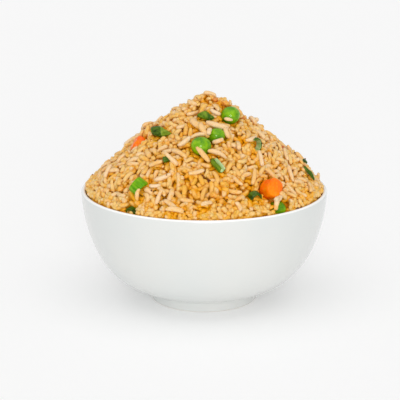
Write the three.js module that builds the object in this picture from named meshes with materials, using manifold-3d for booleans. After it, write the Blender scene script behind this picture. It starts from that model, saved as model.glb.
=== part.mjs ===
import * as THREE from "three";
import { mergeVertices } from "three/addons/utils/BufferGeometryUtils.js";
import Module from "manifold-3d";

// A white porcelain rice bowl, heaped with egg fried rice: long grains with curds of egg, and on them
// green peas, diced carrot and cut spring onion. Lengths are in millimetres and +Z is up.
// The origin is the centre of the foot ring's resting face, and the bowl's shown side faces -Y.

const wasm = await Module();
wasm.setup();

// The bowl
const RIM_RADIUS = 57.5;
const RIM_HEIGHT = 53.3;
const RIM_WALL = 2.0;
const BODY_DEPTH = 48.9; // from the rim down to where the outer curve would close
const HOLLOW_DEPTH = 44.7; // from the rim down to the floor inside
const DEPTH_POWER = 1.75; // the body's curve is a superellipse with these two powers
const RADIUS_POWER = 4;
const FOOT_RADIUS = 24.8; // at the foot's lower edge, from where it flares up to the body
const FOOT_TOP_RADIUS = 25.3;
const FOOT_FILLET = 1.3; // between the foot and the body
const FOOT_FACE_RADIUS = 24.2;
const FOOT_WALL = 3.0;
const FOOT_RECESS = 2.2;
const FOOT_CHAMFER = 0.7; // across the foot's two lower edges
const HOLLOW_ANGLES = [18, 36, 54, 70, 82]; // of the curve's points inside, from the rim down
const AROUND = 40; // sides of every turned shape

// The heap of rice above the rim
const GAP = 0.35; // between pieces that touch
const HEAP_BASE = RIM_RADIUS - RIM_WALL - GAP; // its radius at the rim's level
const HEAP_HEIGHT = 45.6; // the height that its slopes run up to
const HEAP_POWER = 1.3; // more than 1 gives full flanks and a pointed peak
const PEAK_ROUNDING = 4;
const RICE_DROP = 1.6; // how far below the rim the rice starts at the wall
const RIM_FADE = 10; // the surface evens out over this distance from the wall
const HEAP_RINGS = [54.6, 52, 47, 41.5, 36, 30, 24, 18, 12, 6];
const WAVE = { height: 0.5, x: 2.4, y: 2.9 };
const LUMPS = [
  { azimuth: -10, out: 11, lift: 3.0, reach: 5 },
  { azimuth: -4, out: 45, lift: 2.2, reach: 8 },
  { azimuth: 178, out: 27, lift: 1.2, reach: 6 },
  { azimuth: 182, out: 38, lift: -2.4, reach: 10 },
];

// The loose grains and the curds of egg
const GRAIN_LENGTH = 7.8;
const GRAIN_WIDTH = 2.5;
const GRAIN_FLATNESS = 0.86;
const GRAIN_PROFILE = [[0, -1], [0.9, -0.5], [0.96, 0.42], [0, 1]]; // shares of half its width and length
const GRAIN_SIDES = 5;
const GRAIN_COUNT = 260;
const STANDING_SHARE = 0.2; // of them, with one end well up
const CURD_COUNT = 12;
const CURD_SIZE = 5;
const CURD_TURN = 40; // degrees that the curds' spiral is turned from the grains'
const GOLDEN_ANGLE = Math.PI * (3 - Math.sqrt(5));

// The toppings
const PEA_SQUASH = [1.05, 0.93, 0.9];
const ICOSAHEDRON_INSIDE = 0.795; // the share of its reach at which its faces lie
const CARROT_SIZE = [8.6, 8.2, 7.8];
const CARROT_CHAMFER = 0.8;
const ONION_WALL = 0.9;
const ONION_STEP = 45; // degrees round a tube from one edge to the next

const COLOURS = {
  porcelain: { color: 0xf1f2ef, roughness: 0.16, metalness: 0 },
  rice: { color: 0xe3b06c, roughness: 0.5, metalness: 0 },
  pea: { color: 0x5fae12, roughness: 0.3, metalness: 0 },
  carrot: { color: 0xf7761b, roughness: 0.4, metalness: 0 },
  onion: { color: 0x2f7a2b, roughness: 0.4, metalness: 0 },
};

const degrees = THREE.MathUtils.degToRad;

// Numbers from 0 to 1 that are the same on every run
function seededRandom(seed) {
  let state = seed;
  return () => {
    state = (state + 0x6d2b79f5) | 0;
    let t = Math.imul(state ^ (state >>> 15), 1 | state);
    t = (t + Math.imul(t ^ (t >>> 7), 61 | t)) ^ t;
    return ((t ^ (t >>> 14)) >>> 0) / 4294967296;
  };
}

// Closed geometry to solid, moved by a matrix
function solidOf(geometry, matrix = new THREE.Matrix4()) {
  const bare = geometry.clone();
  bare.deleteAttribute("normal");
  bare.deleteAttribute("uv");
  const merged = mergeVertices(bare.applyMatrix4(matrix), 1e-4);
  const vertProperties = new Float32Array(merged.attributes.position.array);
  const triVerts = new Uint32Array(merged.index.array);
  return new wasm.Manifold(new wasm.Mesh({ numProp: 3, vertProperties, triVerts }));
}

// Solid to geometry, for a mesh
function geometryOf(solid) {
  const { vertProperties, triVerts } = solid.getMesh();
  const geometry = new THREE.BufferGeometry();
  geometry.setAttribute("position", new THREE.BufferAttribute(vertProperties, 3));
  geometry.setIndex(new THREE.BufferAttribute(triVerts, 1));
  geometry.computeVertexNormals();
  return geometry;
}

function turned(profile) {
  return new THREE.LatheGeometry(profile, AROUND).rotateX(Math.PI / 2);
}

// A point of the body's curve, from 0 degrees at the rim to 90 at the axis: (radius, height)
function curvePoint(angle, radius, depth) {
  const out = radius * Math.cos(degrees(angle)) ** (2 / RADIUS_POWER);
  const down = depth * Math.sin(degrees(angle)) ** (2 / DEPTH_POWER);
  return new THREE.Vector2(out, RIM_HEIGHT - down);
}

// The hollow's wall from the lip down to its floor, drawn in by a gap
function hollowWall(gap) {
  const points = HOLLOW_ANGLES.map((a) => {
    const angle = degrees(a);
    const at = curvePoint(a, RIM_RADIUS - RIM_WALL, HOLLOW_DEPTH);
    return at.add(new THREE.Vector2(-gap * Math.cos(angle), gap * Math.sin(angle)));
  });
  points.push(new THREE.Vector2(0, RIM_HEIGHT - HOLLOW_DEPTH + gap));
  return points;
}

function bowlGeometry() {
  const lastOut = FOOT_TOP_RADIUS + FOOT_FILLET;
  const lastAngle = THREE.MathUtils.radToDeg(Math.acos((lastOut / RIM_RADIUS) ** (RADIUS_POWER / 2)));
  const footTop = curvePoint(lastAngle, RIM_RADIUS, BODY_DEPTH).y - FOOT_FILLET;
  const foot = [
    new THREE.Vector2(0, FOOT_RECESS),
    new THREE.Vector2(FOOT_FACE_RADIUS - FOOT_WALL - FOOT_CHAMFER, FOOT_RECESS),
    new THREE.Vector2(FOOT_FACE_RADIUS - FOOT_WALL, 0),
    new THREE.Vector2(FOOT_FACE_RADIUS, 0),
    new THREE.Vector2(FOOT_RADIUS, FOOT_CHAMFER),
    new THREE.Vector2(FOOT_TOP_RADIUS, footTop),
  ];
  const body = [1, 0.92, 0.8, 0.66, 0.5, 0.33, 0.16].map((share) =>
    curvePoint(lastAngle * share, RIM_RADIUS, BODY_DEPTH),
  );
  const lipRadius = RIM_WALL / 2;
  const lip = [0, 50, 90, 130, 180].map((a) => {
    const out = RIM_RADIUS - lipRadius + lipRadius * Math.cos(degrees(a));
    return new THREE.Vector2(out, RIM_HEIGHT - lipRadius + lipRadius * Math.sin(degrees(a)));
  });
  return turned([...foot, ...body, ...lip, ...hollowWall(0)]);
}

// Height of the heap's even slope over the rim's level, at a distance from the axis
function slopeHeight(out) {
  const rounded = Math.hypot(out, PEAK_ROUNDING);
  return HEAP_HEIGHT * Math.max(0, 1 - rounded / HEAP_BASE) ** (1 / HEAP_POWER);
}

// How far the surface stands out from the even slope: the named lumps, and low waves
function unevenness(x, y) {
  const waves = WAVE.height * Math.sin(x / WAVE.x + 0.8) * Math.cos(y / WAVE.y - 0.5);
  const lumps = LUMPS.map(({ azimuth, out, lift, reach }) => {
    const away = Math.hypot(x - out * Math.cos(degrees(azimuth)), y - out * Math.sin(degrees(azimuth)));
    return lift * Math.exp(-((away / reach) ** 2));
  });
  return lumps.reduce((sum, lift) => sum + lift, waves);
}

// The point of the heap's surface above an azimuth and a distance from the axis, and its outward normal
function heapPoint(azimuth, out) {
  const step = 0.05;
  const inner = slopeHeight(Math.max(0, out - step));
  const slope = (inner - slopeHeight(Math.min(HEAP_BASE - 0.3, out + step))) / (2 * step);
  const normal = new THREE.Vector2(slope, 1).normalize();
  const fade = Math.min(1, (HEAP_BASE - out) / RIM_FADE);
  const lift = unevenness(out * Math.cos(azimuth), out * Math.sin(azimuth)) * fade;
  const radius = out + normal.x * lift;
  const height = RIM_HEIGHT - RICE_DROP * (out / HEAP_BASE) ** 6 + slopeHeight(out) + normal.y * lift;
  return {
    point: new THREE.Vector3(radius * Math.cos(azimuth), radius * Math.sin(azimuth), height),
    normal: new THREE.Vector3(normal.x * Math.cos(azimuth), normal.x * Math.sin(azimuth), normal.y),
  };
}

// The heap without its grains: it fills the hollow and rises over the rim
function coreSolid() {
  const rings = hollowWall(GAP)
    .slice(0, -1)
    .reverse()
    .map(({ x, y }) => (azimuth) => new THREE.Vector3(x * Math.cos(azimuth), x * Math.sin(azimuth), y));
  HEAP_RINGS.forEach((out) => rings.push((azimuth) => heapPoint(azimuth, out).point));
  const positions = [new THREE.Vector3(0, 0, RIM_HEIGHT - HOLLOW_DEPTH + GAP)];
  rings.forEach((ring) => {
    for (let i = 0; i < AROUND; i++) positions.push(ring((i / AROUND) * 2 * Math.PI));
  });
  positions.push(heapPoint(0, 0).point);
  const faces = [];
  const top = positions.length - 1;
  for (let i = 0; i < AROUND; i++) {
    const next = (i + 1) % AROUND;
    faces.push(0, 1 + next, 1 + i);
    for (let k = 0; k < rings.length - 1; k++) {
      const [a, b] = [1 + k * AROUND + i, 1 + k * AROUND + next];
      faces.push(a, b, b + AROUND, a, b + AROUND, a + AROUND);
    }
    const last = 1 + (rings.length - 1) * AROUND;
    faces.push(last + i, last + next, top);
  }
  const geometry = new THREE.BufferGeometry().setFromPoints(positions).setIndex(faces);
  return solidOf(geometry);
}

// Where a piece lies on the heap: +Z along the surface's normal, +X along it, +Y up the slope.
// Lift is how far its centre stands off the surface. Turn is about the normal, tip lifts its +X end,
// and roll is about its length.
function seat({ azimuth, out, lift = 0, turn = 0, tip = 0, roll = 0 }) {
  const { point, normal } = heapPoint(degrees(azimuth), out);
  const around = new THREE.Vector3(0, 0, 1).cross(normal).normalize();
  const uphill = normal.clone().cross(around);
  const frame = new THREE.Matrix4().makeBasis(around, uphill, normal);
  frame.setPosition(point.addScaledVector(normal, lift));
  const pose = new THREE.Euler(degrees(roll), -degrees(tip), degrees(turn), "ZYX");
  return frame.multiply(new THREE.Matrix4().makeRotationFromEuler(pose));
}

// Each kind of topping has a shape, and a room that it takes in the rice: a simpler shape, grown by a gap

function peaGeometry({ radius }) {
  return new THREE.IcosahedronGeometry(radius, 1).scale(...PEA_SQUASH);
}

function peaRoom({ radius }) {
  const reach = (radius + GAP) / ICOSAHEDRON_INSIDE;
  return new THREE.IcosahedronGeometry(reach, 0).scale(...PEA_SQUASH);
}

function carrotGeometry({ size = CARROT_SIZE }) {
  const [length, width, height] = size;
  const [x, y] = [length / 2 - CARROT_CHAMFER, width / 2 - CARROT_CHAMFER];
  const corners = [[x, y], [-x, y], [-x, -y], [x, -y]].map(([u, v]) => new THREE.Vector2(u, v));
  const depth = height - 2 * CARROT_CHAMFER;
  const options = { depth, bevelSize: CARROT_CHAMFER, bevelThickness: CARROT_CHAMFER, bevelSegments: 1 };
  return new THREE.ExtrudeGeometry(new THREE.Shape(corners), options).translate(0, 0, -depth / 2);
}

function carrotRoom({ size = CARROT_SIZE }) {
  return new THREE.BoxGeometry(...size.map((s) => s + 2 * GAP));
}

// A cut of spring onion: an oval tube along X, or the arc of it about +Z that a slit leaves.
// Slant cuts its ends on the bias, by so much along for each millimetre across.
// Narrow draws its -X and +X ends in by those shares.
function onionGeometry({ length, across, arc = 360, wall = ONION_WALL, slant = 0, narrow = [0, 0] }) {
  const turns = Math.round(arc / ONION_STEP);
  const whole = arc === 360;
  const oval = (inset) =>
    Array.from({ length: whole ? turns : turns + 1 }, (_, i) => {
      const angle = degrees(90 - arc / 2 + (arc * i) / turns);
      return new THREE.Vector2(
        (across[0] / 2 - inset) * Math.cos(angle),
        (across[1] / 2 - inset) * Math.sin(angle),
      );
    });
  const shape = new THREE.Shape(whole ? oval(0) : [...oval(0), ...oval(wall).reverse()]);
  if (whole) shape.holes.push(new THREE.Path(oval(wall)));
  const steps = narrow[0] && narrow[1] ? 2 : 1;
  const tube = new THREE.ExtrudeGeometry(shape, { depth: length, steps, bevelEnabled: false });
  tube.translate(0, 0, -length / 2).rotateX(Math.PI / 2).rotateZ(Math.PI / 2);
  const place = tube.attributes.position;
  for (let i = 0; i < place.count; i++) {
    const [x, y, z] = [place.getX(i), place.getY(i), place.getZ(i)];
    const keep = 1 - narrow[x < 0 ? 0 : 1] * Math.abs(x / (length / 2));
    place.setXYZ(i, x + slant * y, y * keep, z * keep);
  }
  return tube;
}

function onionRoom({ length, across, slant = 0 }) {
  const reach = length + Math.abs(slant) * across[0];
  return new THREE.BoxGeometry(reach + 2 * GAP, across[0] + 2 * GAP, across[1] + 2 * GAP);
}

const KINDS = {
  pea: { shape: peaGeometry, room: peaRoom },
  carrot: { shape: carrotGeometry, room: carrotRoom },
  onion: { shape: onionGeometry, room: onionRoom },
};

// Where the toppings lie. The shown side comes first, and then the side behind.
const TOPPINGS = {
  pea: [
    { azimuth: -40, out: 14.8, lift: 1, radius: 4.5 },
    { azimuth: -75.5, out: 22.2, lift: -0.9, radius: 3.9 },
    { azimuth: -93, out: 28.2, lift: 1, radius: 4.75, turn: -20 },
    { azimuth: -49.6, out: 53, lift: -3.7, radius: 4.2 },
    { azimuth: 72, out: 24, lift: 0.8, radius: 4.5, turn: 30 },
    { azimuth: 106, out: 41, lift: 1, radius: 4.3 },
    { azimuth: 63, out: 43, lift: 0.2, radius: 4.6, turn: 50 },
    { azimuth: 131, out: 50, lift: -0.8, radius: 4.4 },
  ],
  carrot: [
    { azimuth: -52.5, out: 47.75, lift: 0.8, turn: 40, tip: 14, roll: 20 },
    { azimuth: -171, out: 31.8, lift: -1.2, turn: 28, tip: 16, roll: 12, size: [8, 7.4, 6] },
    { azimuth: 92, out: 34, lift: 0.6, turn: 15, tip: -12, roll: 24 },
    { azimuth: 50, out: 50, lift: -0.8, turn: 62, tip: 10, roll: -16 },
    { azimuth: 111, out: 25, lift: -0.8, turn: -24, tip: 12, roll: 8 },
  ],
  onion: [
    {
      ...{ azimuth: -87, out: 13.75, lift: 1, turn: -45, tip: 10 },
      ...{ length: 6.1, across: [6, 3.4], slant: 0.4, narrow: [0, 0.4] },
    },
    {
      ...{ azimuth: -144.5, out: 24, lift: 1.2, turn: 42, tip: -28 },
      ...{ length: 8, across: [7, 5.4], slant: -0.3, narrow: [0.3, 0.8] },
    },
    {
      ...{ azimuth: -39.5, out: 29.8, lift: 0.8, turn: 260, tip: 35, roll: -60 },
      ...{ length: 3.2, across: [7.4, 6.4], arc: 225 },
    },
    {
      ...{ azimuth: -81, out: 36.75, lift: 1, turn: -61, roll: 145 },
      ...{ length: 7, across: [4.5, 4], arc: 270 },
    },
    {
      ...{ azimuth: -127.5, out: 47.25, lift: 1.2, turn: -20, tip: -28, roll: 25 },
      ...{ length: 5, across: [8.4, 7], arc: 225 },
    },
    {
      ...{ azimuth: -63.25, out: 49.25, lift: 0.6, turn: -90, tip: 34 },
      ...{ length: 3.8, across: [5.8, 4.6], arc: 225, wall: 1.1 },
    },
    {
      ...{ azimuth: -10.75, out: 48.3, lift: 0.8, turn: 84, tip: 6 },
      ...{ length: 7.8, across: [5, 3.2], arc: 180, narrow: [0.5, 0.5] },
    },
    {
      ...{ azimuth: -7, out: 45, lift: 0.9, turn: 25 },
      ...{ length: 2.6, across: [2.6, 2.2], arc: 180, wall: 0.8 },
    },
    {
      ...{ azimuth: -118, out: 35, lift: 1, turn: 30 },
      ...{ length: 3.6, across: [3.4, 2.8], arc: 225, wall: 0.8 },
    },
    {
      ...{ azimuth: -128.3, out: 54, lift: -2.5, turn: -90, tip: 40 },
      ...{ length: 2.6, across: [6.2, 5.6], arc: 225 },
    },
    { azimuth: 86, out: 12, lift: 0.8, turn: 24, length: 7.4, across: [5.2, 4.2] },
    {
      ...{ azimuth: 124, out: 36, lift: 1, turn: -48, tip: 20 },
      ...{ length: 6.6, across: [6.6, 5.2], arc: 270 },
    },
    { azimuth: 98, out: 50, lift: 0.8, turn: 12, length: 7.2, across: [5, 4.4], slant: 0.3 },
    {
      ...{ azimuth: 76, out: 35, lift: 0.8, turn: 70, tip: 30 },
      ...{ length: 4.4, across: [6.6, 5.8], arc: 225 },
    },
    { azimuth: 50, out: 30, lift: 0.6, turn: -66, length: 6.8, across: [5.4, 3.8], arc: 270 },
    { azimuth: 139, out: 42, lift: 0.2, turn: 58, length: 6, across: [4.6, 3.4] },
    {
      ...{ azimuth: 76, out: 52, lift: 0.2, turn: -20 },
      ...{ length: 3.6, across: [3.2, 2.8], arc: 225, wall: 0.8 },
    },
  ],
};

// Adds the toppings to a group, and returns the solids of the room that they take
function addToppings(group) {
  return Object.entries(TOPPINGS).flatMap(([kind, places]) =>
    places.map((place, i) => {
      const material = new THREE.MeshStandardMaterial(COLOURS[kind]);
      const mesh = new THREE.Mesh(KINDS[kind].shape(place), material);
      mesh.name = `${kind}_${i + 1}`;
      mesh.applyMatrix4(seat(place));
      group.add(mesh);
      return solidOf(KINDS[kind].room(place), seat(place));
    }),
  );
}

// One grain along X: a turned shape with few sides, thinner than wide and a little bowed
function grainGeometry(length, width, bow) {
  const points = GRAIN_PROFILE.map(
    ([out, along]) => new THREE.Vector2((out * width) / 2, (along * length) / 2),
  );
  const grain = new THREE.LatheGeometry(points, GRAIN_SIDES).rotateZ(-Math.PI / 2);
  grain.scale(1, 1, GRAIN_FLATNESS);
  const place = grain.attributes.position;
  for (let i = 0; i < place.count; i++) {
    const share = place.getX(i) / (length / 2);
    place.setZ(i, place.getZ(i) - bow * share * share);
  }
  return grain;
}

// Distances from the axis that share the heap's surface out evenly
function evenRadii(count) {
  const steps = 400;
  const table = [0];
  for (let i = 1; i <= steps; i++) {
    const [a, b] = [((i - 1) / steps) * HEAP_BASE, (i / steps) * HEAP_BASE];
    const along = Math.hypot(b - a, slopeHeight(a) - slopeHeight(b));
    table.push(table[i - 1] + (a + b) * along);
  }
  return Array.from({ length: count }, (_, k) => {
    const wanted = ((k + 0.5) / count) * table[steps];
    const i = table.findIndex((area) => area >= wanted);
    return (i / steps) * HEAP_BASE;
  });
}

// Whether a closed geometry reaches the wall of the bowl
function meetsWall(geometry, matrix) {
  const place = geometry.attributes.position;
  const at = new THREE.Vector3();
  for (let i = 0; i < place.count; i++) {
    at.fromBufferAttribute(place, i).applyMatrix4(matrix);
    if (at.z < RIM_HEIGHT + GAP && Math.hypot(at.x, at.y) > HEAP_BASE - GAP) return true;
  }
  return false;
}

// The grains that show and the curds of egg among them. One that would cross the bowl or a topping
// is turned to lie level along the slope, and left out if it still crosses.
function looseSolids(rooms) {
  const random = seededRandom(20);
  const between = (low, high) => low + (high - low) * random();
  const solids = [];
  const place = (geometry, spot) => {
    const level = { ...spot, turn: between(-12, 12), tip: 0 };
    for (const matrix of [seat(spot), seat(level)]) {
      if (meetsWall(geometry, matrix)) continue;
      const solid = solidOf(geometry, matrix);
      if (rooms.some((room) => !solid.intersect(room).isEmpty())) continue;
      solids.push(solid);
      return;
    }
  };
  evenRadii(CURD_COUNT).forEach((out, k) => {
    const azimuth = THREE.MathUtils.radToDeg(k * GOLDEN_ANGLE) + CURD_TURN;
    const curd = new THREE.IcosahedronGeometry(CURD_SIZE / 2, 0).scale(between(0.9, 1.3), 0.8, 0.5);
    place(curd, { azimuth, out, lift: 0.6, turn: between(0, 180) });
  });
  evenRadii(GRAIN_COUNT).forEach((out, k) => {
    const standing = random() < STANDING_SHARE;
    const size = [GRAIN_LENGTH * between(0.84, 1.1), GRAIN_WIDTH * between(0.92, 1.1), between(0, 0.5)];
    place(grainGeometry(...size), {
      azimuth: THREE.MathUtils.radToDeg(k * GOLDEN_ANGLE) + between(-3, 3),
      out: Math.min(out, HEAP_BASE - 1.4),
      lift: between(0.45, 0.9),
      turn: between(0, 180),
      tip: standing ? between(18, 40) : between(-9, 9),
    });
  });
  return solids;
}

// The rice: its core, with room for the toppings, and the loose pieces fused on. Scraps that the cuts
// leave are dropped, and so is any hollow that they shut.
function riceSolid(rooms) {
  const bare = coreSolid().subtract(wasm.Manifold.union(rooms));
  const fused = wasm.Manifold.union([bare, ...looseSolids(rooms)]).simplify(0.02);
  const bodies = fused.decompose().sort((a, b) => b.volume() - a.volume());
  return bodies[0];
}

const group = new THREE.Group();
const bowl = new THREE.Mesh(bowlGeometry(), new THREE.MeshStandardMaterial(COLOURS.porcelain));
bowl.name = "bowl";
group.add(bowl);
const rooms = addToppings(group);
const rice = new THREE.Mesh(geometryOf(riceSolid(rooms)), new THREE.MeshStandardMaterial(COLOURS.rice));
rice.name = "rice_heap";
group.add(rice);

export default group;
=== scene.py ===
import math

import bmesh
import bpy
import numpy as np
from mathutils import Matrix, Vector, noise


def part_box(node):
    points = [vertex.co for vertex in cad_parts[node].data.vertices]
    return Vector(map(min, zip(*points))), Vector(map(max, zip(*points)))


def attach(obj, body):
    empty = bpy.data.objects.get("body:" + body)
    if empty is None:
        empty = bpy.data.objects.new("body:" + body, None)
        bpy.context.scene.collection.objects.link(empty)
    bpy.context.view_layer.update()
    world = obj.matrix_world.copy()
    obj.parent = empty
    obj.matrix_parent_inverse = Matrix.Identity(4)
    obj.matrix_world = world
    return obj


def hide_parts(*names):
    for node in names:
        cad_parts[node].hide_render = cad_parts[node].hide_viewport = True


# A glazed porcelain bowl heaped with egg fried rice, with peas, diced carrot and cut spring onion on it.
# Lengths are in metres, +Z is up, and the bowl's shown side faces -Y.

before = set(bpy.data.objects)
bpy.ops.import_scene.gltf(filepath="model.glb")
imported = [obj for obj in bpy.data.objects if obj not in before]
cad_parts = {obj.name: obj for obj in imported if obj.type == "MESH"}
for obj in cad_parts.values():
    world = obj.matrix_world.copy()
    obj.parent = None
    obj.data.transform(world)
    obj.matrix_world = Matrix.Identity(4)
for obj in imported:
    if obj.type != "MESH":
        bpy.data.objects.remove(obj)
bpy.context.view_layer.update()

MM = 0.001
SEED = 11

# The bowl, from the frame and in the same curve as its solid
BOWL_LOW, BOWL_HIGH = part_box("bowl")
RIM_RADIUS = (BOWL_HIGH.x - BOWL_LOW.x) / 2
RIM_HEIGHT = BOWL_HIGH.z
RIM_WALL = 2.0 * MM
BODY_DEPTH = 48.9 * MM
HOLLOW_DEPTH = 44.7 * MM
DEPTH_POWER = 1.75
RADIUS_POWER = 4
FOOT_RADIUS = 24.8 * MM  # at the foot's lower edge, from where it flares up to the body
FOOT_TOP_RADIUS = 25.3 * MM
FOOT_FILLET = 2.2 * MM  # between the foot and the body
FOOT_FACE_RADIUS = 24.2 * MM
FOOT_WALL = 3.0 * MM
FOOT_RECESS = 2.2 * MM
FOOT_EDGE = 0.5 * MM  # the rounding of the foot's edges
FOOT_LEAN = 0.6 * MM  # how far the foot's inner side leans in
FILLET_DROP = 2.6 * MM  # from the fillet's upper end down to its lower one
BOWL_STEPS = 144

# The heap's even slope and the lumps on it, as in its solid
GAP = 0.35 * MM
HEAP_BASE = RIM_RADIUS - RIM_WALL - GAP
HEAP_HEIGHT = 45.6 * MM
HEAP_POWER = 1.3
PEAK_ROUNDING = 4 * MM
RICE_DROP = 1.6 * MM
LUMPS = (  # azimuth in degrees, distance from the axis, lift, reach
    (-10, 11 * MM, 3.0 * MM, 5 * MM),
    (-4, 45 * MM, 2.2 * MM, 8 * MM),
    (178, 27 * MM, 1.2 * MM, 6 * MM),
    (182, 38 * MM, -2.4 * MM, 10 * MM),
)
LUMPS_FADE = 10 * MM  # how near the wall they start to fade
RIPPLE = 0.5 * MM  # a small unevenness all over, with its reach along X and Y
RIPPLE_REACH = 2.4 * MM, 2.9 * MM

# The loose rice on the core
CORE_DEPTH = 4.1 * MM  # how far the core lies under the solid's surface, to leave room for grains
CORE_REACH = HEAP_BASE + 1.0 * MM  # out to where the core is shaped, as it draws in where it is sunk
CELL = 0.25 * MM  # of the map of how high the rice has piled up
MAP_MARGIN = 2 * MM
PRESS = 0.3 * MM  # how far soft grains press into each other
PILE_LIMIT = CORE_DEPTH + 0.2 * MM  # the highest that a grain's back comes to, over the core
PILE_SPREAD = 0.5 * MM  # how much that differs from grain to grain
RIM_LIFT = 2.6 * MM  # how much less the core is sunk where it meets the bowl
RIM_LIFT_REACH = 7 * MM
RIM_PILE_DROP = 0.35  # the share of that by which the pile is lower there
PEAK_LIFT = 2.2 * MM  # how much less the core is sunk round the peak
PEAK_AT = 2 * MM  # along X
PEAK_REACH = 9 * MM
LONG_STOP = CORE_DEPTH + 2.8 * MM  # how high over the core long grains, laid last, rest on a topping
LONG_LIMIT = CORE_DEPTH + 2.3 * MM  # the highest that one has its middle
TRIES = 6  # places tried for each grain, of which it takes the lowest
STEEPEST = 0.75  # rise over run of a grain that lies on others
LEANS = 15  # how many leans are tried
PROBES = (0.95, 9), (0.6, 3)  # where a grain is felt, along and across: out to a share, at so many places
INTO_SHARE = 0.12  # how much of a grain may run into a topping
NO_LID = 1.0  # where rice may reach any height, in metres
WALL_CLEARANCE = 0.1 * MM  # between the bowl's wall and the grains below the lip
OVER_LIP = 0.4 * MM  # from this high over the lip, grains may lean out over it
INSIDE_RIM = 0.5 * MM  # but no nearer to the bowl's outside than this


def srgb(red, green, blue):
    """A colour given as it looks on a screen, as the shader's linear colour."""
    return tuple(((c / 255 + 0.055) / 1.055) ** 2.4 for c in (red, green, blue)) + (1.0,)


class Wire:
    """A socket in a material, with arithmetic that adds Math nodes."""

    def __init__(self, finish, socket):
        self.finish = finish
        self.socket = socket

    def math(self, operation, *values):
        return self.finish.node("ShaderNodeMath", {"operation": operation}, dict(enumerate(values)))

    def __add__(self, other):
        return self.math("ADD", self, other)

    def __sub__(self, other):
        return self.math("SUBTRACT", self, other)

    def __rsub__(self, other):
        return self.math("SUBTRACT", other, self)

    def __mul__(self, other):
        return self.math("MULTIPLY", self, other)

    __radd__ = __add__
    __rmul__ = __mul__


class Finish:
    """A procedural material round one Principled shader."""

    def __init__(self, name, **constants):
        self.material = bpy.data.materials.new(name)
        self.material.use_nodes = True
        self.tree = self.material.node_tree
        self.shader = self.tree.nodes["Principled BSDF"]
        for socket, value in constants.items():
            self.shader.inputs[socket.replace("_", " ")].default_value = value

    def node(self, kind, settings=None, inputs=None, output=0):
        """A node of a type, with its settings and then the values or links of its sockets."""
        node = self.tree.nodes.new(kind)
        for key, value in (settings or {}).items():
            setattr(node, key, value)
        for key, value in (inputs or {}).items():
            if isinstance(value, Wire):
                self.tree.links.new(value.socket, node.inputs[key])
            else:
                node.inputs[key].default_value = value
        return Wire(self, node.outputs[output])

    def place(self):
        return self.node("ShaderNodeTexCoord", output="Object")

    def attribute(self, name, output="Fac"):
        return self.node("ShaderNodeAttribute", {"attribute_name": name}, output=output)

    def noise(self, scale, detail, vector=None):
        """Noise from 0 to 1 about 0.5, with its scale in waves a metre."""
        inputs = {"Scale": scale, "Detail": detail, "Vector": vector or self.place()}
        return self.node("ShaderNodeTexNoise", inputs=inputs)

    def ramp(self, value, low, high, to_low=0.0, to_high=1.0):
        """A value eased from one range to another."""
        inputs = {0: value, 1: low, 2: high, 3: to_low, 4: to_high}
        return self.node("ShaderNodeMapRange", {"interpolation_type": "SMOOTHSTEP"}, inputs)

    def mix(self, factor, first, second):
        """A colour between two others."""
        return self.node("ShaderNodeMix", {"data_type": "RGBA"}, {0: factor, 6: first, 7: second}, output=2)

    def vector(self, operation, first, second, output=0):
        inputs = {0: first, 1: second}
        return self.node("ShaderNodeVectorMath", {"operation": operation}, inputs, output)

    def feed(self, socket, value):
        self.tree.links.new(value.socket, self.shader.inputs[socket])
        return self

    def bump(self, height, distance, strength):
        inputs = {"Height": height, "Distance": distance, "Strength": strength}
        return self.feed("Normal", self.node("ShaderNodeBump", inputs=inputs))


def soft(name, weight, radius, scale, **constants):
    """A finish for soft food, which light enters."""
    return Finish(
        name, Subsurface_Weight=weight, Subsurface_Radius=radius, Subsurface_Scale=scale, **constants
    )


def add_object(name, data):
    added = bpy.data.objects.new(name, data)
    bpy.context.scene.collection.objects.link(added)
    return added


def make_piece(name, mesh, finishes, node):
    """A new piece on the object's one body, smooth, that stands for a node."""
    piece = add_object(name, mesh)
    mesh.shade_smooth()
    for finish in finishes:
        mesh.materials.append(finish.material)
    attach(piece, "root")
    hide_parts(node)
    return piece


def mesh_from(bm, name):
    mesh = bpy.data.meshes.new(name)
    bm.to_mesh(mesh)
    bm.free()
    return mesh


def full_spin(bm, section, steps):
    """Turns a section once round the axis, and closes the seam and the poles."""
    bmesh.ops.spin(
        bm, geom=section, cent=(0, 0, 0), axis=(0, 0, 1), angle=2 * math.pi, steps=steps, use_merge=True
    )
    bmesh.ops.remove_doubles(bm, verts=bm.verts, dist=0.001 * MM)


def add_values(mesh, name, values, kind="FLOAT"):
    """A named value for each vertex."""
    attribute = mesh.attributes.new(name, kind, "POINT")
    key = "value" if kind == "FLOAT" else "vector"
    attribute.data.foreach_set(key, np.asarray(values, np.float32).ravel())


# The bowl


def curve_point(angle, radius, depth):
    """A point of the body's curve, from 0 degrees at the rim to 90 at the axis: (radius, height)."""
    out = radius * math.cos(math.radians(angle)) ** (2 / RADIUS_POWER)
    return out, RIM_HEIGHT - depth * math.sin(math.radians(angle)) ** (2 / DEPTH_POWER)


def arc(centre, radius, start, end, steps):
    """Points round an arc, with angles in degrees from outwards to upwards."""
    angles = np.radians(np.linspace(start, end, steps))
    return [(centre[0] + radius * math.cos(a), centre[1] + radius * math.sin(a)) for a in angles]


def bent(start, corner, end, steps):
    """Points of a curve from start to end that leaves and arrives along lines to a corner."""
    start, corner, end = (np.array(point) for point in (start, corner, end))
    shares = np.linspace(0, 1, steps)
    return [tuple((1 - t) ** 2 * start + 2 * t * (1 - t) * corner + t**2 * end) for t in shares]


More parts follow.
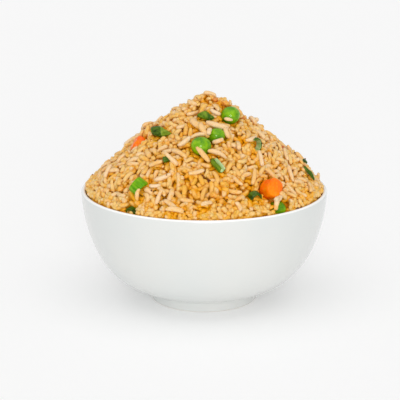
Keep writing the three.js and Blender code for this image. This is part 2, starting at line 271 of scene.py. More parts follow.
def bowl_profile():
    """The section of the bowl: from the axis under it, up to the lip, and down the hollow to the axis."""
    face_in = FOOT_FACE_RADIUS - FOOT_WALL
    points = [(0, FOOT_RECESS), (face_in * 0.5, FOOT_RECESS)]
    points += arc((face_in - FOOT_LEAN - FOOT_EDGE, FOOT_RECESS - FOOT_EDGE), FOOT_EDGE, 90, 10, 4)
    points += arc((face_in + FOOT_EDGE, FOOT_EDGE), FOOT_EDGE, 180, 270, 5)
    points += arc((FOOT_RADIUS - FOOT_EDGE, FOOT_EDGE), FOOT_EDGE, -90, -5, 6)
    last = math.degrees(math.acos(((FOOT_TOP_RADIUS + FOOT_FILLET) / RIM_RADIUS) ** (RADIUS_POWER / 2)))
    join = curve_point(last, RIM_RADIUS, BODY_DEPTH)
    corner = (FOOT_TOP_RADIUS + 0.4 * MM, join[1] - 0.6 * MM)
    points += bent((FOOT_TOP_RADIUS - 0.1 * MM, join[1] - FILLET_DROP), corner, join, 12)
    shares = np.linspace(0.012, 0.95, 40)
    points += [curve_point(last * (1 - share), RIM_RADIUS, BODY_DEPTH) for share in shares]
    lip = RIM_WALL / 2
    points += arc((RIM_RADIUS - lip, RIM_HEIGHT - lip), lip, 0, 180, 11)
    points += [curve_point(a, RIM_RADIUS - RIM_WALL, HOLLOW_DEPTH) for a in np.linspace(6, 86, 24)]
    points.append((0, RIM_HEIGHT - HOLLOW_DEPTH))
    return points


def glaze():
    """White glaze with a painted highlight along the lip, and the bare clay of the resting edge."""
    finish = Finish("white_glaze", Roughness=0.2, Specular_IOR_Level=0.5, Coat_Roughness=0.06)
    height = finish.node("ShaderNodeSeparateXYZ", inputs={0: finish.place()}, output="Z")
    body = finish.mix(finish.ramp(finish.noise(28, 3), 0.3, 0.7), srgb(213, 216, 214), srgb(217, 218, 215))
    # painted highlight: the glaze turns nearly white along the lip's top
    lip = finish.ramp(height, RIM_HEIGHT - 0.9 * MM, RIM_HEIGHT - 0.2 * MM)
    glazed = finish.mix(lip, body, srgb(250, 251, 250))
    bare = finish.ramp(height, 0.05 * MM, FOOT_EDGE, 1.0, 0.0)
    clay = finish.mix(finish.noise(900, 4), srgb(206, 199, 188), srgb(226, 221, 212))
    finish.feed("Base Color", finish.mix(bare, glazed, clay))
    finish.feed("Roughness", finish.ramp(finish.noise(160, 3), 0.3, 0.7, 0.17, 0.25) + bare * 0.5)
    finish.feed("Coat Weight", (1 - bare) * 0.35)
    return finish.bump(finish.noise(45, 2) * 0.9 + finish.noise(700, 2) * 0.02, 0.25 * MM, 0.5)


def make_bowl():
    bm = bmesh.new()
    vertices = [bm.verts.new((out, 0, height)) for out, height in bowl_profile()]
    edges = [bm.edges.new(pair) for pair in zip(vertices, vertices[1:])]
    full_spin(bm, vertices + edges, BOWL_STEPS)
    bmesh.ops.recalc_face_normals(bm, faces=bm.faces)
    make_piece("glazed_bowl", mesh_from(bm, "glazed_bowl"), [glaze()], "bowl")


# The heap's surface


def slope(out):
    """The even slope at a distance from the axis: its height, and its normal's outward and upward shares."""
    rounded = np.hypot(out, PEAK_ROUNDING)
    share = np.clip(1 - rounded / HEAP_BASE, 0.01, None)
    height = RIM_HEIGHT - RICE_DROP * (out / HEAP_BASE) ** 6 + HEAP_HEIGHT * share ** (1 / HEAP_POWER)
    steepness = HEAP_HEIGHT / HEAP_POWER / HEAP_BASE * share ** (1 / HEAP_POWER - 1) * out / rounded
    length = np.hypot(steepness, 1)
    return height, steepness / length, 1 / length


def rim_lift(x, y):
    """How much less the core is sunk near the bowl's wall."""
    at_rim = 1 - np.clip((HEAP_BASE - np.hypot(x, y)) / RIM_LIFT_REACH, 0, 1)
    return RIM_LIFT * at_rim**2


def unevenness(x, y):
    """How far the surface stands out from the even slope."""
    lift = RIPPLE * np.sin(x / RIPPLE_REACH[0] + 0.8) * np.cos(y / RIPPLE_REACH[1] - 0.5)
    for azimuth, out, rise, reach in LUMPS:
        angle = math.radians(azimuth)
        away = np.hypot(x - out * math.cos(angle), y - out * math.sin(angle)) / reach
        lift = lift + rise * np.exp(-(away**2))
    inward = HEAP_BASE - np.hypot(x, y)
    at_peak = np.exp(-((x - PEAK_AT) ** 2 + y**2) / PEAK_REACH**2)
    return lift * np.clip(inward / LUMPS_FADE, 0, 1) + rim_lift(x, y) + PEAK_LIFT * at_peak


def core_point(x, y, above=0.0):
    """The point over the sunk core at a place in plan, and the normal's outward and upward shares there."""
    out = np.hypot(x, y)
    height, outward, upward = slope(out)
    lift = unevenness(x, y) - CORE_DEPTH + above
    radial = (out + outward * lift) / np.maximum(out, 1e-9)
    return np.stack([x * radial, y * radial, height + upward * lift], -1), outward, upward


def locate(points):
    """Where points lie against the sunk core: places in plan and heights above it."""
    radius = np.hypot(points[:, 0], points[:, 1])
    out = np.clip(radius, 0, HEAP_BASE)
    for _ in range(6):
        height, outward, upward = slope(out)
        away = (radius - out) * outward + (points[:, 2] - height) * upward
        out = np.clip(radius - outward * away, 0, HEAP_BASE)
    share = out / np.maximum(radius, 1e-9)
    x, y = points[:, 0] * share, points[:, 1] * share
    return x, y, away - unevenness(x, y) + CORE_DEPTH


# The loose grains


def grain_outline(along):
    """Half thickness of a grain as a share of its fullest, at a place along it from -1 to 1."""
    return np.clip(1 - np.abs(along) ** 4.2, 0, None) ** 0.5


class Bed:
    """A map, in plan, of how high above the core the food has piled up, and how high rice may reach."""

    def __init__(self):
        self.half = HEAP_BASE + MAP_MARGIN
        self.size = int(2 * self.half / CELL)
        self.piled = np.zeros((self.size, self.size))
        self.lid = np.full((self.size, self.size), NO_LID)
        self.tops = np.zeros((self.size, self.size))  # of the finished pieces, for long grains to lie on

    def index(self, value):
        return np.clip(((value + self.half) / CELL).astype(int), 0, self.size - 1)

    def heap_over(self, points, stays_bare):
        """Adds a finished piece, from its points. One that stays bare has rice round and under it only."""
        x, y, above = locate(points)
        for dx in (-CELL, 0, CELL):
            for dy in (-CELL, 0, CELL):
                cells = self.index(x + dx), self.index(y + dy)
                np.maximum.at(self.tops, cells, np.minimum(above, LONG_STOP))
                if stays_bare:
                    np.minimum.at(self.lid, cells, above)
                else:
                    np.maximum.at(self.piled, cells, above)

    def spots(self, x, y, turn, length, width):
        """The cells that grains lie over, how far along a grain each is, and how thick the grain is there."""
        out = np.maximum(np.hypot(x, y), 1e-6)
        _, _, upward = slope(out)
        along, across = (np.linspace(-reach, reach, count) for reach, count in PROBES)
        along = along[:, None] * length / 2
        across = across[None, :] * width / 2
        along, across = (a.ravel() for a in np.broadcast_arrays(along, across))
        around = along * np.cos(turn)[:, None] - across * np.sin(turn)[:, None]
        uphill = (along * np.sin(turn)[:, None] + across * np.cos(turn)[:, None]) * upward[:, None]
        cos, sin = (x / out)[:, None], (y / out)[:, None]
        rows = self.index(x[:, None] - around * sin - uphill * cos)
        columns = self.index(y[:, None] + around * cos - uphill * sin)
        full = grain_outline(2 * along / length) * np.sqrt(1 - (2 * across / width) ** 2)
        return (rows, columns), along, full

    def rest(self, x, y, turn, length, width, thickness):
        """Lets grains fall at places in plan. Returns how high their middles lie, and how they lean."""
        cells, along, full = self.spots(x, y, turn, length, width)
        needed = self.piled[cells] + full * thickness / 2
        leans = np.linspace(-STEEPEST, STEEPEST, LEANS)
        middles = (needed[:, None, :] - leans[None, :, None] * along[None, None, :]).max(2)
        best = middles.argmin(1)
        return middles[np.arange(len(x)), best] - PRESS, leans[best]

    def blocked(self, x, y, turn, length, width, thickness, middle, lean):
        """The share of each grain that runs into toppings."""
        cells, along, full = self.spots(x, y, turn, length, width)
        top = middle[:, None] + lean[:, None] * along[None, :] + full * thickness / 2
        return (top > self.lid[cells]).mean(1)

    def cover(self, x, y, turn, length, width, thickness, middle, lean):
        """Adds the top of one grain."""
        level = 1 / math.hypot(lean, 1)
        reach = int((length / 2 + width) / CELL) + 1
        i, j = self.index(np.array([x, y]))
        rows = np.arange(max(0, i - reach), min(self.size, i + reach + 1))
        columns = np.arange(max(0, j - reach), min(self.size, j + reach + 1))
        dx = (rows * CELL - self.half + CELL / 2 - x)[:, None]
        dy = (columns * CELL - self.half + CELL / 2 - y)[None, :]
        out = max(math.hypot(x, y), 1e-6)
        upward = slope(np.array([out]))[2][0]
        around = (dy * x - dx * y) / out
        uphill = -(dx * x + dy * y) / out / upward
        along = around * math.cos(turn) + uphill * math.sin(turn)
        across = uphill * math.cos(turn) - around * math.sin(turn)
        full = grain_outline(2 * along / length / level)
        round_off = 1 - (2 * across / width / np.maximum(full, 0.05)) ** 2
        inside = (np.abs(along) < length * level / 2) & (round_off > 0)
        top = middle + lean * along + thickness / 2 * full * np.sqrt(np.maximum(round_off, 0)) / level
        patch = self.piled[rows[0] : rows[-1] + 1, columns[0] : columns[-1] + 1]
        patch[inside] = np.maximum(patch[inside], top[inside])

    def lowest_spots(self, random, count):
        """Places where the rice lies lowest, of many that are looked at."""
        x, y = scattered(random, even_distance(random.uniform(0, 1, LOOKED_AT * count)))
        piled, lid = (level[self.index(x), self.index(y)] for level in (self.piled, self.lid))
        level = piled + RIM_PILE_DROP * rim_lift(x, y)
        lowest = np.where(lid > piled + CRUMBS[1][0] * MM, level, NO_LID).argsort()[:count]
        return x[lowest], y[lowest]

    def is_clear(self, x, y, reach):
        """Whether nothing that has to stay bare lies within a reach."""
        cells = int(reach / CELL)
        i, j = self.index(np.array([x, y]))
        return (self.lid[i - cells : i + cells + 1, j - cells : j + cells + 1] == NO_LID).all()

    def ceiling(self, reach):
        """The highest food within a reach of each place, smoothed."""
        cells = int(reach / CELL)
        high = self.piled.copy()
        for merge in (np.max, np.mean):
            for axis in (0, 1):
                high = merge([np.roll(high, k, axis) for k in range(-cells, cells + 1)], axis=0)
        return high


def grain_axes(x, y, turn, lean):
    """The three directions of grains that lie on the slope: along, across and out of it."""
    out = np.maximum(np.hypot(x, y), 1e-9)
    _, outward, upward = slope(out)
    cos, sin = x / out, y / out
    around = np.stack([-sin, cos, np.zeros_like(x)], -1)
    uphill = np.stack([-upward * cos, -upward * sin, outward], -1)
    normal = np.stack([outward * cos, outward * sin, upward], -1)
    flat = np.cos(turn)[:, None] * around + np.sin(turn)[:, None] * uphill
    along = flat + lean[:, None] * normal
    along /= np.linalg.norm(along, axis=1)[:, None]
    across = np.cross(normal, flat)
    return along, across, np.cross(along, across)


def meets_wall(x, y, turn, lean, middle, length, width):
    """Whether grains would reach the bowl's wall or lip."""
    centre, _, _ = core_point(x, y, middle)
    along, _, _ = grain_axes(x, y, turn, lean)
    meets = np.zeros(len(x), bool)
    for share in (-0.5, 0, 0.5):
        end = centre + along * share * length
        beyond = np.hypot(end[:, 0], end[:, 1]) + width * (0.5 - 0.5 * abs(share))
        inner = RIM_RADIUS - RIM_WALL - WALL_CLEARANCE
        meets |= (beyond > inner) & (end[:, 2] < RIM_HEIGHT + OVER_LIP)
        meets |= beyond > RIM_RADIUS - INSIDE_RIM
    return meets


KINDS = (
    # The kinds of grain: how many fall before the others, how many then fall mixed with them,
    # their lengths and widths in millimetres, and the share of them that is dug in
    ("rice_grains_broken", 700, 500, (3.0, 4.4), (2.0, 2.6), 0.35),
    ("rice_grains_sauced", 200, 3400, (4.6, 6.6), (2.0, 2.6), 0.25),
    ("rice_grains_pale", 0, 3800, (5.0, 7.6), (2.0, 2.6), 0.2),
)
FLATNESS = 0.74, 0.92  # a grain's thickness as a share of its width
DUG_RISE = 0.7 * MM  # how much higher the end of a dug-in grain reaches
DUG_ANGLES = 0.5, 1.1  # how steeply it stands, in radians
DUG_SINK = 0.4  # the share of its rise by which it goes in
RIM_DROPPED = 380  # the grains that fall first, along the bowl's wall
RIM_GRAINS = (3.6, 5.8), (1.9, 2.4)  # their lengths and widths
RIM_ROW = 0.2, 1.8  # how far in they lie, in millimetres
RIM_TURN = 0.4  # how far they turn from along the wall, in radians
CRUMBS_DROPPED = 500  # small bits that go into the gaps that the grains leave
CRUMBS = (2.4, 3.8), (1.6, 2.1)  # their lengths and widths
CRUMBS_LIMIT = CORE_DEPTH - 0.3 * MM  # the highest that one's back comes to, over the core
LOOKED_AT = 40  # how many places are looked at for each place that a crumb tries

LONG_GRAINS = (
    # The grains that stand out where they show: azimuth, distance from the axis, turn, length, width
    (-72.2, 18.3, 154, 10.6, 2.9),
    (-99.0, 18.3, 142, 9.6, 3.4),
    (-90.7, 21.8, 123, 7.9, 2.7),
    (-96.6, 23.9, 11, 7.0, 1.9),
    (-91.6, 32.4, 127, 11.2, 2.4),
    (-84.5, 22.0, 75, 5.6, 2.3),
    (-64.0, 22.6, 100, 5.6, 2.3),
    (-76.5, 25.8, 8, 5.4, 2.2),
    (-54.0, 52.6, 70, 6.2, 2.5),
    (-52.0, 51.4, 20, 6.4, 2.5),
    (-48.6, 51.0, 150, 5.6, 2.3),
    (15.0, 23.0, 20, 6.6, 2.6),
    (20.0, 24.6, 165, 6.0, 2.4),
    (163.0, 26.4, 150, 6.4, 2.5),
    (167.0, 32.0, 20, 6.4, 2.5),
    (-51.9, 17.0, 164, 4.6, 1.8),
    (-68.3, 12.4, 137, 5.6, 2.0),
    (-79.6, 31.9, 160, 9.2, 2.4),
    (-108.8, 26.9, 45, 7.2, 2.4),
    (-110.2, 32.0, 157, 9.0, 2.2),
    (-113.6, 35.3, 153, 8.3, 2.1),
    (-115.7, 42.5, 34, 8.0, 2.1),
    (-118.3, 45.9, 18, 5.2, 1.8),
    (-106.8, 51.2, 150, 7.4, 2.1),
    (-103.5, 52.9, 178, 8.2, 2.4),
    (-91.4, 50.6, 145, 7.0, 2.1),
    (-160.1, 46.1, 110, 7.0, 2.2),
    (-125.0, 49.9, 89, 5.4, 2.0),
    (-120.2, 49.8, 131, 5.2, 2.2),
    (-113.5, 49.3, 85, 7.0, 2.0),
    (-124.4, 37.7, 29, 6.6, 2.0),
    (-95.0, 39.7, 24, 7.4, 2.1),
    (-47.0, 36.2, 67, 8.4, 2.0),
    (-59.6, 42.7, 60, 9.0, 2.0),
    (-30.9, 44.7, 65, 8.5, 2.0),
    (-44.0, 28.1, 2, 6.4, 2.0),
    (-23.6, 51.4, 30, 7.8, 2.0),
    (-70.7, 43.2, 112, 7.2, 1.9),
    (-89.0, 51.0, 26, 6.4, 2.1),
    (-73.4, 51.9, 114, 4.6, 2.1),
)
LONG_BEHIND = 34  # more of them, on the rest of the heap
LONG_BOUNDS = (20, 160), (0.05, 0.9), (0, 180), (7, 10)  # of their azimuth, share of slope, turn, length
LONG_WIDTH, LONG_FLATNESS = 2.4, 0.85
LONG_SINK = 0.4 * MM  # how far a long grain settles into what it lies on
LONG_LEAN = 0.8  # the share of the lean that it keeps, as it is soft

EGG_CURDS = (
    # Curds of egg that show: azimuth, distance from the axis, size along and across, tone up to browned
    (-31, 5.4, 3.0, 2.6, 0.95),
    (-24, 9.6, 4.4, 3.2, 0.8),
    (-6, 24.5, 5.4, 3.8, 0.2),
    (-128.5, 27.6, 3.8, 3.0, 0.6),
    (-141.6, 48.8, 3.8, 2.8, 0.6),
    (-85.0, 47.2, 3.6, 2.8, 0.7),
    (-89.2, 49.2, 3.0, 2.4, 0.75),
    (-81.1, 49.6, 3.2, 2.4, 0.65),
)
CURDS_BEHIND = 40  # more of them, on the rest of the heap

BROWNED_BITS_AND_GAP_SHADE = (
    # Dark crumbs that show: azimuth, distance from the axis, size. The first, the largest, is a dark lump put
    # in a dark gap between grains low at the front, as painted shade.
    (-91.5, 40.4, 3.3),
    (-87.5, 42.0, 2.4),
    (-77.9, 48.7, 0.9),
    (-148.4, 24.9, 0.8),
    (-120.2, 20.3, 0.8),
    (-58.5, 45.0, 0.9),
    (-113.0, 41.8, 0.7),
    (-119.4, 47.5, 0.8),
    (-146.5, 50.5, 0.8),
    (-109.6, 47.4, 0.7),
    (-102.2, 51.0, 0.9),
    (-72.4, 45.5, 0.8),
)
BITS_BEHIND = 30  # more of them, on the rest of the heap


def on_slope(azimuth, out):
    """The place in plan at an azimuth in degrees and a distance from the axis in millimetres."""
    angle = math.radians(azimuth)
    return out * MM * math.cos(angle), out * MM * math.sin(angle)


def even_distance(share):
    """Distances from the axis that share the slope's area out evenly, for shares from 0 to 1."""
    out = np.linspace(0, HEAP_BASE, 400)
    along = np.hypot(np.diff(out), np.diff(slope(out)[0]))
    area = np.concatenate([[0], np.cumsum((out[1:] + out[:-1]) * along)])
    return np.interp(share, area / area[-1], out)


def drop_grains(bed, random):
    """Drops the grains one by one on the core. Returns a table of where each lies, by kind."""
    tables = {name: [] for name, *_ in KINDS}
    for _ in range(RIM_DROPPED):
        out = HEAP_BASE - random.uniform(*RIM_ROW, TRIES) * MM
        place = *scattered(random, out), random.normal(0, RIM_TURN, TRIES)
        tables["rice_grains_sauced"].append(drop_one(bed, random, place, *RIM_GRAINS, PILE_LIMIT, False))
    first, mixed = (np.repeat(range(len(KINDS)), [kind[k] for kind in KINDS]) for k in (1, 2))
    for kind in [*first, *random.permutation(mixed)]:
        name, _, _, lengths, widths, dug_share = KINDS[kind]
        out = even_distance(random.uniform(0, 1, TRIES))
        place = *scattered(random, out), random.uniform(0, math.pi, TRIES)
        limit = PILE_LIMIT + random.normal(0, PILE_SPREAD)
        is_dug = random.uniform() < dug_share
        tables[name].append(drop_one(bed, random, place, lengths, widths, limit, is_dug))
    tables["rice_crumbs"] = []
    for _ in range(CRUMBS_DROPPED):
        place = *bed.lowest_spots(random, TRIES), random.uniform(0, math.pi, TRIES)
        tables["rice_crumbs"].append(drop_one(bed, random, place, *CRUMBS, CRUMBS_LIMIT, False))
    return {name: np.array([row for row in rows if row]) for name, rows in tables.items()}


def scattered(random, out):
    """Places in plan at distances from the axis and at any azimuth."""
    azimuth = random.uniform(0, 2 * math.pi, len(out))
    return out * np.cos(azimuth), out * np.sin(azimuth)


def drop_one(bed, random, place, lengths, widths, limit, is_dug):
    """Drops one grain where it comes to lie lowest, of the places tried. A dug-in grain stands steeply."""
    length = random.uniform(*lengths) * MM
    width = random.uniform(*widths) * MM
    thickness = width * random.uniform(*FLATNESS)
    x, y, turn = place
    middle, lean = bed.rest(x, y, turn, length, width, thickness)
    limit = limit - RIM_PILE_DROP * rim_lift(x, y) + DUG_RISE * is_dug
    if is_dug:
        lean = np.tan(random.uniform(*DUG_ANGLES, len(x))) * random.choice([-1, 1], len(x))
        rise = length / 2 * np.abs(lean) / np.hypot(lean, 1) + thickness / 2
        middle = np.minimum(middle - DUG_SINK * rise, limit - rise)
    lost = meets_wall(x, y, turn, lean, middle, length, width) | (middle + thickness / 2 > limit)
    lost |= bed.blocked(x, y, turn, length, width, thickness, middle, lean) > INTO_SHARE
    middle[lost] = NO_LID
    best = middle.argmin()
    if lost[best]:
        return None
    spot = (x[best], y[best], turn[best], length, width, thickness, middle[best], lean[best])
    bed.cover(*spot)
    return spot


def lay_long_grains(bed, random):
    """Lays the long grains on top of everything, each where it shows."""
    azimuths, shares, turns, lengths = (random.uniform(*bounds, LONG_BEHIND) for bounds in LONG_BOUNDS)
    behind = zip(azimuths, even_distance(shares) / MM, turns, lengths, [LONG_WIDTH] * LONG_BEHIND)
    rows = []
    bed.piled = np.maximum(bed.piled, bed.tops)
    for azimuth, out, turn, length, width in [*LONG_GRAINS, *behind]:
        x, y = on_slope(azimuth, out)
        size = (length * MM, width * MM, width * LONG_FLATNESS * MM)
        middle, lean = bed.rest(np.array([x]), np.array([y]), np.radians([turn]), *size)
        middle = min(middle[0] - LONG_SINK, LONG_LIMIT)
        spot = (x, y, math.radians(turn), *size, middle, lean[0] * LONG_LEAN)
        bed.cover(*spot)
        rows.append(spot)
    return np.array(rows)


def points_and_faces(bm):
    points = np.array([v.co for v in bm.verts])
    faces = [[v.index for v in face.verts] for face in bm.faces]
    bm.free()
    return points, faces


def grain_shape():
    """One unit grain: its points and faces, with its length along X."""
    bm = bmesh.new()
    bmesh.ops.create_uvsphere(bm, u_segments=8, v_segments=7, radius=1)
    bmesh.ops.rotate(bm, verts=bm.verts, matrix=Matrix.Rotation(math.pi / 2, 3, "Y"))
    points, faces = points_and_faces(bm)
    along = np.clip(points[:, 0], -1, 1)
    across = np.sqrt(np.maximum(1 - along**2, 1e-9))
    points[:, 1:] *= (grain_outline(along) / across)[:, None]
    return points, faces


def joined_mesh(name, points, faces):
    """Many copies of one shape as one mesh, from the points of every copy."""
    count, each = points.shape[:2]
    mesh = bpy.data.meshes.new(name)
    copies = [[v + each * k for v in face] for k in range(count) for face in faces]
    mesh.from_pydata(points.reshape(-1, 3).tolist(), [], copies)
    return mesh


# How much grains differ in form
TAPER = 0.14  # thicker towards one end, as a share
BULGES = (2.2, 0.1), (4.5, 0.07)  # waves along a grain, and the share by which each swells it
BEND, SAG = 0.9, 0.5  # in millimetres
TWIST = 0.6  # in radians
DENTS = 0.04
BROKEN_ENDS, WHOLE_ENDS = 0.5, 0.8  # the least share of a half that a blunt end leaves


def grain_points(table, shape, random, blunt):
    """The points of every grain in a table, each bent, tapered, dented and blunt-ended in its own way."""
    x, y, turn, length, width, thickness, middle, lean = table.T
    count = len(table)

    def draw(low, high):
        return random.uniform(low, high, count)[:, None]

    unit = np.repeat(shape[None], count, 0)
    ends = draw(blunt, 1.0), draw(blunt, 1.0)
    along = np.clip(unit[:, :, 0], -ends[0], ends[1]) / (ends[0] + ends[1]) * 2
    swell = 1 + draw(-TAPER, TAPER) * along
    for waves, amount in BULGES:
        swell += draw(0, amount) * np.sin(waves * along + draw(0, 2 * math.pi))
    bend = draw(-BEND, BEND) * MM * (along**2 - 0.4)
    sag = draw(0, SAG) * MM * (0.4 - along**2)
    twist = draw(-TWIST, TWIST) * along + draw(-0.5, 0.5)
    side = unit[:, :, 1] * np.cos(twist) - unit[:, :, 2] * np.sin(twist)
    rise = unit[:, :, 1] * np.sin(twist) + unit[:, :, 2] * np.cos(twist)
    side += random.normal(0, DENTS, side.shape)
    rise += random.normal(0, DENTS, rise.shape)
    axes = grain_axes(x, y, turn, lean)
    centre, _, _ = core_point(x, y, middle)
    side = side * swell * width[:, None] / 2 + bend
    rise = rise * swell * thickness[:, None] / 2 + sag
    own = np.stack((along * length[:, None] / 2, side, rise), -1)
    moved = sum(axis[:, None, :] * own[:, :, k, None] for k, axis in enumerate(axes))
    return centre[:, None, :] + moved, own + random.uniform(0, 1, (count, 1, 3))


SAUCE_AT = (4 * MM, -50 * MM, 66 * MM)  # the middle of the patch where most sauce has run
SAUCE_REACH = (10 * MM, 30 * MM)  # from where it fades, and to where


def rice_finish(name, pale, golden, sauce):
    """Cooked rice: pale grains that the sauce colours in patches, and darker deep in the crevices, which is
    sauce colour and painted shade.
    """
    finish = soft(name, 0.35, (1.0, 0.9, 0.8), 0.8 * MM, Specular_IOR_Level=0.2, Coat_Roughness=0.25)
    tone = finish.attribute("tone")
    depth = finish.attribute("depth")
    own = finish.attribute("own", "Vector")
    stains = finish.noise(560, 3)
    away = finish.vector("DISTANCE", finish.place(), SAUCE_AT, output="Value")
    run = finish.ramp(away, *SAUCE_REACH, 1.0, 0.0)
    patches = finish.ramp(finish.noise(70, 2), 0.4, 0.7)
    amount = tone * 0.6 + patches * 0.2 + run * 0.25 + finish.ramp(stains, 0.42, 0.7) * 0.45
    skin = finish.mix(finish.ramp(amount, 0.15, 1.1), pale, golden)
    # painted shade, with the sauce colour: the deeper a point lies between the grains, the darker and more
    # golden it is
    deep = finish.ramp(depth + (stains - 0.5) * 0.5, 0.3, 0.95)
    finish.feed("Base Color", finish.mix(deep, skin, sauce))
    splits = finish.noise(1100, 2, finish.vector("MULTIPLY", own, (0.3, 1, 1)))
    finish.feed("Roughness", finish.ramp(splits, 0.3, 0.7, 0.3, 0.5))
    finish.feed("Coat Weight", finish.ramp(stains, 0.35, 0.7, 0.0, 0.25))
    return finish.bump(splits * 0.5 + finish.noise(520, 3), 0.4 * MM, 0.7)


def packed_finish():
    """Rice so deep between the grains that only its lumps and its sauce show, darker where the lumps meet, as
    painted shade.
    """
    finish = soft("packed_rice", 0.5, (1.0, 0.8, 0.6), 1.6 * MM)
    inputs = {"Vector": finish.vector("MULTIPLY", finish.place(), (1, 1, 0.7)), "Scale": 430}
    lumps = finish.node("ShaderNodeTexVoronoi", {"feature": "SMOOTH_F1"}, inputs)
    stains = finish.noise(300, 3)
    colour = finish.mix(finish.ramp(stains, 0.3, 0.7), srgb(238, 170, 36), srgb(230, 152, 14))
    # painted shade: darker towards the edges of each lump
    finish.feed("Base Color", finish.mix(finish.ramp(lumps, 0.3, 0.75), colour, srgb(200, 122, 4)))
    finish.feed("Roughness", finish.ramp(stains, 0.3, 0.7, 0.3, 0.5))
    return finish.bump(1 - lumps, 1.2 * MM, 0.9)


# For each kind: the pale and golden colours of its skin, and the darker colour deep between grains. The
# crumbs in the gaps and the broken grains, which mostly lie low, are darker, and the long grains on top are
# palest: partly their own colour, partly painted shade and light.
RICE_COLOURS = {
    "rice_grains_long": (srgb(236, 206, 166), srgb(236, 187, 112), srgb(240, 178, 48)),
    "rice_grains_pale": (srgb(235, 200, 150), srgb(234, 179, 88), srgb(240, 174, 28)),
    "rice_grains_sauced": (srgb(235, 196, 126), srgb(234, 174, 62), srgb(240, 169, 10)),
    "rice_grains_broken": (srgb(235, 195, 122), srgb(236, 172, 56), srgb(240, 169, 8)),
    "rice_crumbs": (srgb(235, 191, 110), srgb(236, 168, 48), srgb(240, 166, 4)),
}


CORE_LUMPS = 0.5 * MM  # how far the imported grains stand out
CORE_LUMP_SIZE = 2.2 * MM
CORE_FOOT = 26 * MM  # how far under the rim the core ends, out of sight
CORE_FOOT_SHARE = 0.8  # its size there, as a share of the bowl's inside at the lip
OVERLOOK = 1.2 * MM  # from how far round a place its depth between grains is taken
# the painted shade between grains is at its darkest this far under the rice round it
CREVICE_SHADE_DEPTH = 3.4 * MM  # how far under its surroundings rice is as deep in colour as it gets


def make_core():
    """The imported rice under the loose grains, which shows only in the deepest crevices."""
    rings, around = 30, 96
    bm = bmesh.new()
    rim = [bm.verts.new((CORE_REACH * k / rings, 0, 0)) for k in range(rings + 1)]
    edges = [bm.edges.new(pair) for pair in zip(rim, rim[1:])]
    full_spin(bm, rim + edges, around)
    plan = np.array([v.co for v in bm.verts])
    surface, _, _ = core_point(plan[:, 0], plan[:, 1])
    for vertex, point in zip(bm.verts, surface):
        vertex.co = Vector(point) + noise.noise_vector(Vector(point) / CORE_LUMP_SIZE) * CORE_LUMPS
    under = [e for e in bm.edges if e.is_boundary]
    bottom = bmesh.ops.extrude_edge_only(bm, edges=under)["geom"]
    skirt = [v for v in bottom if isinstance(v, bmesh.types.BMVert)]
    inner = (RIM_RADIUS - RIM_WALL) * CORE_FOOT_SHARE
    for vertex in skirt:
        shrink = inner / math.hypot(vertex.co.x, vertex.co.y)
        vertex.co = (vertex.co.x * shrink, vertex.co.y * shrink, RIM_HEIGHT - CORE_FOOT)
    bmesh.ops.contextual_create(bm, geom=skirt)
    bmesh.ops.recalc_face_normals(bm, faces=bm.faces)
    make_piece("rice_core", mesh_from(bm, "rice_core"), [packed_finish()], "rice_heap")


def make_rice(bed, random):
    shape, faces = grain_shape()
    tables = drop_grains(bed, random)
    tables["rice_grains_long"] = lay_long_grains(bed, random)
    ceiling = bed.ceiling(OVERLOOK)
    for name, table in tables.items():
        blunt = BROKEN_ENDS if name in ("rice_grains_broken", "rice_crumbs") else WHOLE_ENDS
        points, own = grain_points(table, shape, random, blunt)
        mesh = joined_mesh(name, points, faces)
        add_values(mesh, "own", own, "FLOAT_VECTOR")
        x, y, above = locate(points.reshape(-1, 3))
        # how deep each point lies among the grains round it, which the finish paints as shade
        depth = (ceiling[bed.index(x), bed.index(y)] - above) / CREVICE_SHADE_DEPTH
        add_values(mesh, "depth", np.clip(depth, 0, 1))
        add_values(mesh, "tone", np.repeat(random.uniform(0, 1, len(table)), points.shape[1]))
        make_piece(name, mesh, [rice_finish(name, *RICE_COLOURS[name])], "rice_heap")


# The vegetables and the egg


def mesh_points(mesh):
    points = np.empty(len(mesh.vertices) * 3)
    mesh.vertices.foreach_get("co", points)
    return points.reshape(-1, 3)


def shaped_points(piece):
    """The corners and the middles of the faces of a piece as its modifiers shape it."""
    shaped = piece.evaluated_get(bpy.context.evaluated_depsgraph_get()).to_mesh()
    middles = np.empty(len(shaped.polygons) * 3)
    shaped.polygons.foreach_get("center", middles)
    return np.concatenate([mesh_points(shaped), middles.reshape(-1, 3)])


def solid_copy(node):
    """A solid of the frame as clean faces, to shape further."""
    bm = bmesh.new()
    bm.from_mesh(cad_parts[node].data)
    bmesh.ops.remove_doubles(bm, verts=bm.verts, dist=0.02 * MM)
    bmesh.ops.join_triangles(
        bm, faces=bm.faces, angle_face_threshold=math.radians(2), angle_shape_threshold=math.pi
    )
    return bm


def push_out(bm, scale, amount, seed):
    """Makes a shape less even, by noise of a scale."""
    for vertex in bm.verts:
        vertex.co += noise.noise_vector(vertex.co / scale + Vector((seed, 0, 0))) * amount


def pea_finish():
    shine = {"Specular_IOR_Level": 0.05, "Coat_Roughness": 0.09}
    finish = soft("green_pea", 0.2, (0.7, 1.0, 0.1), 1.2 * MM, **shine)
    mottle = finish.ramp(finish.noise(260, 3), 0.3, 0.72)
    specks = finish.ramp(finish.noise(1500, 2), 0.55, 0.8)
    skin = finish.mix(mottle, srgb(74, 136, 0), srgb(140, 188, 0))
    finish.feed("Base Color", finish.mix(specks * 0.4, skin, srgb(170, 206, 6)))
    finish.feed("Roughness", finish.ramp(mottle, 0, 1, 0.4, 0.3))
    finish.feed("Coat Weight", finish.ramp(finish.noise(500, 2), 0.3, 0.7, 0.35, 0.6))
    return finish.bump(finish.noise(420, 2) + finish.noise(2200, 2) * 0.15, 0.3 * MM, 0.7)


